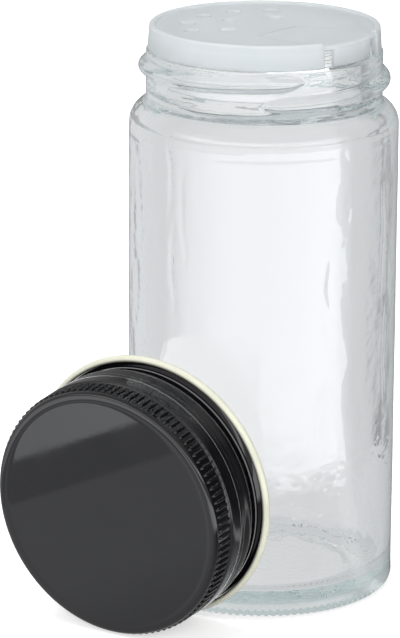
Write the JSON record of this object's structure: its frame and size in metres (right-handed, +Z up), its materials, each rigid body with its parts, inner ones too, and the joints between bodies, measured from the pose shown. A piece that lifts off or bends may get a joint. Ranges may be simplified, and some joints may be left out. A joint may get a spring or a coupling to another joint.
{
  "type": "spice jar",
  "caption": "Round clear glass spice jar with a push-fit sifter insert and its pour flap, and a black metal screw cap standing beside it.",
  "frame": {"origin": "centre of the jar's foot, on the surface that the jar and the cap stand on", "axes": "+Z up along the jar's axis. +X to the right and +Y away from the camera in the picture"},
  "size_m": [0.0742, 0.0731, 0.109],
  "materials": {
    "clear_glass": "clear",
    "natural_pp": "satin, slightly translucent",
    "black_lacquer": "gloss",
    "liner_board": "satin"
  },
  "bodies": {
    "jar": {"glass_jar": "clear_glass"},
    "insert": {"shaker_insert": "natural_pp"},
    "flap": {"pour_flap": "natural_pp"},
    "cap": {"cap_shell": "black_lacquer", "cap_liner": "liner_board"}
  },
  "joints": [
    {"name": "insert_lift", "type": "slide", "parent": "jar", "child": "insert", "axis": [0, 0, 1], "range_m": [0, 0.04]},
    {"name": "flap_hinge", "type": "hinge", "parent": "insert", "child": "flap", "pos_m": [0.00366, -0.00286, 0.1084], "axis": [-0.6157, -0.788, 0], "range_deg": [0, 110]},
    {"name": "cap_lift", "type": "slide", "parent": "jar", "child": "cap", "axis": [0, 0, 1], "range_m": [0, 0.13]}
  ]
}
